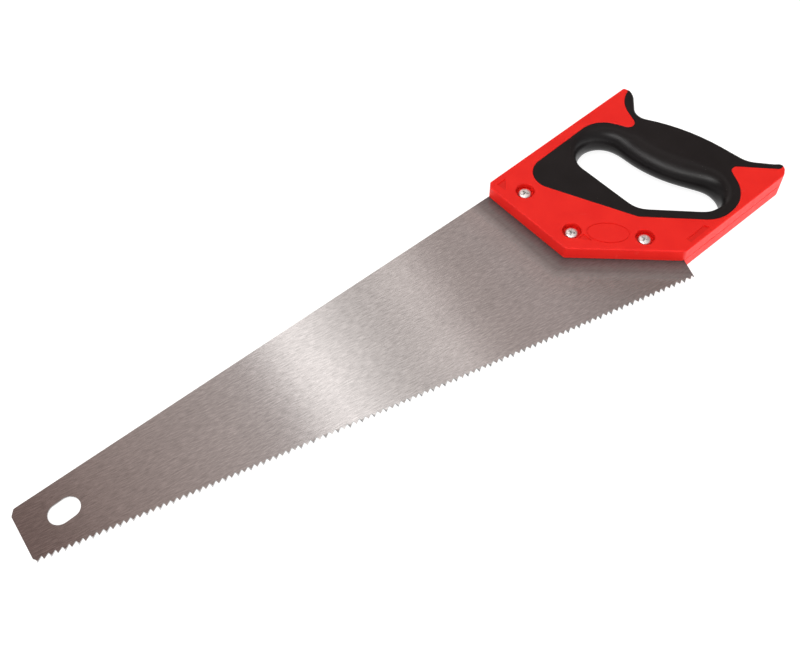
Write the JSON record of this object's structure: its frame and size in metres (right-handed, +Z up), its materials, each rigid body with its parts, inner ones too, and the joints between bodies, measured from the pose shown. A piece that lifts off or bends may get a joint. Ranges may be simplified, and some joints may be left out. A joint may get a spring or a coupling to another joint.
{
  "type": "hand saw",
  "caption": "Hand saw with a tapered toothed steel blade clamped between two plastic handle shells with a bonded rubber grip.",
  "frame": {"origin": "middle of the saw's outline, on the plane that the back of the handle rests on", "axes": "+X from the blade's toe to the handle along the straight back edge, +Y from the teeth to the back edge, +Z up through the thickness, out of the face with the screw heads"},
  "size_m": [0.4902, 0.1314, 0.019],
  "materials": {
    "blade_steel": "brushed along the blade, clear lacquered",
    "red_plastic": "moulded, satin gloss",
    "black_rubber": "moulded, soft sheen",
    "zinc_steel": "bright zinc plate"
  },
  "bodies": {
    "root": {"blade": "blade_steel", "handle_shell_front": "red_plastic", "handle_shell_back": "red_plastic", "grip_overmould_front": "black_rubber", "grip_overmould_back": "black_rubber", "top_screw": "zinc_steel", "middle_screw": "zinc_steel", "lower_screw": "zinc_steel", "top_nut": "zinc_steel", "middle_nut": "zinc_steel", "lower_nut": "zinc_steel"}
  },
  "joints": []
}
